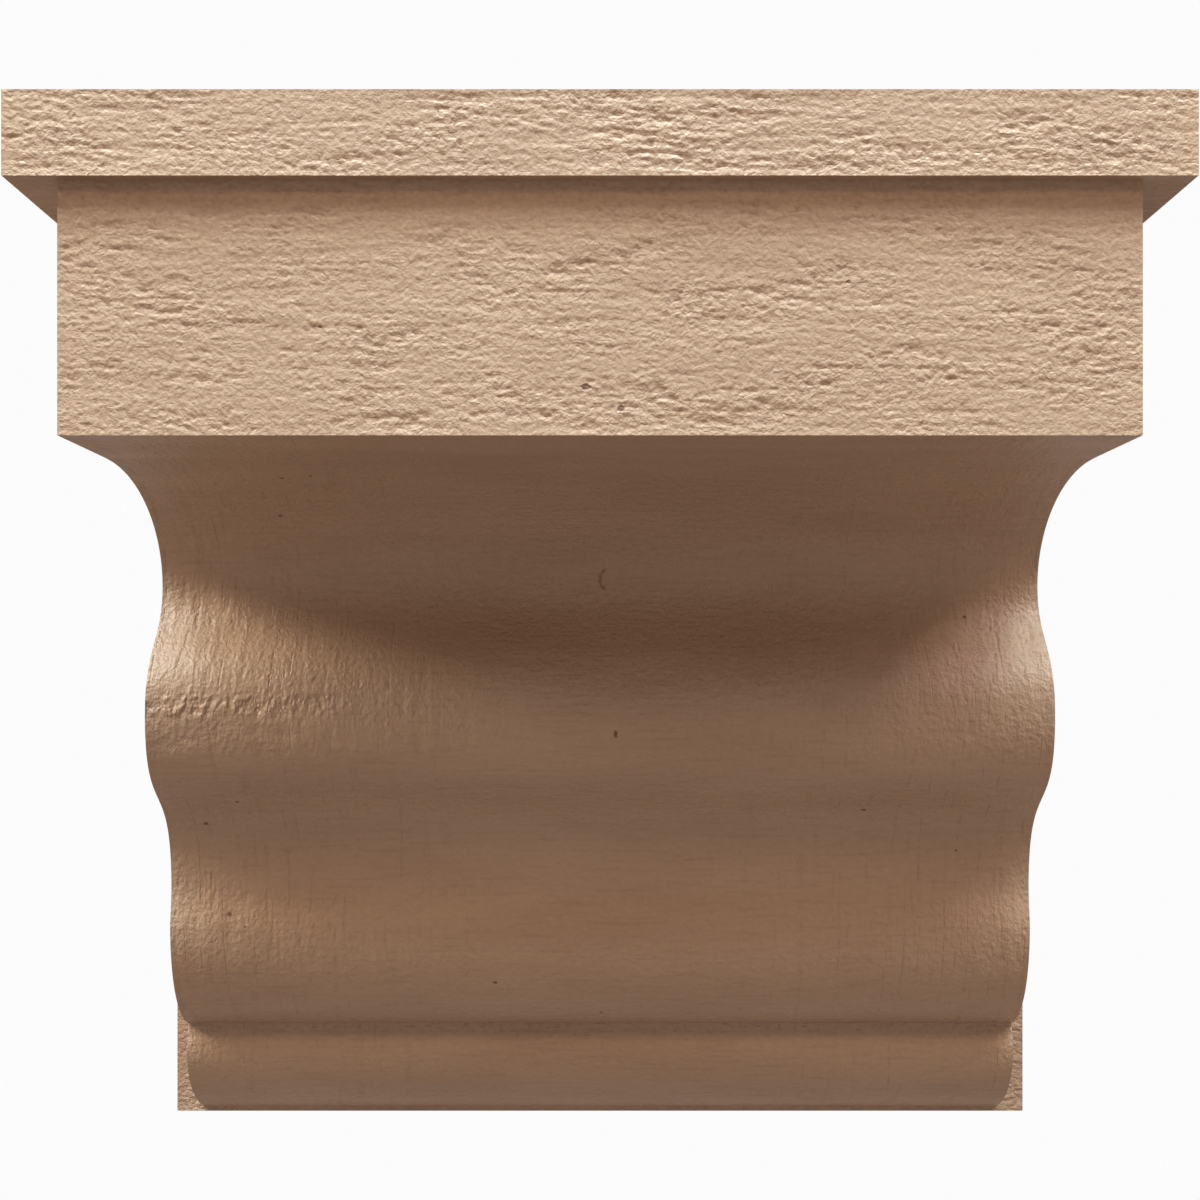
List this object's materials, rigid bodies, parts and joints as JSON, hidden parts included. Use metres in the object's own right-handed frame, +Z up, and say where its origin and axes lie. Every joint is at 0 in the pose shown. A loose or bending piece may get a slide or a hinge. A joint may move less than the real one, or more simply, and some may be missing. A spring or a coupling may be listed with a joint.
{
  "type": "corbel",
  "caption": "Moulded corbel with a wide flat cap and a plain square block over a body of coves and rolls, on a flat back plate, in faux rough-sawn wood.",
  "frame": {"origin": "middle of the flat back face, where the corbel goes against the wall", "axes": "+Y into the wall, so the corbel reaches out towards -Y; +Z up; X across its width"},
  "size_m": [0.254, 0.1524, 0.2506],
  "materials": {
    "faux_wood": "moulded rigid foam with rough-sawn wood grain, primed an even tan, matt with a faint sheen"
  },
  "bodies": {
    "root": {"corbel": "faux_wood"}
  },
  "joints": []
}
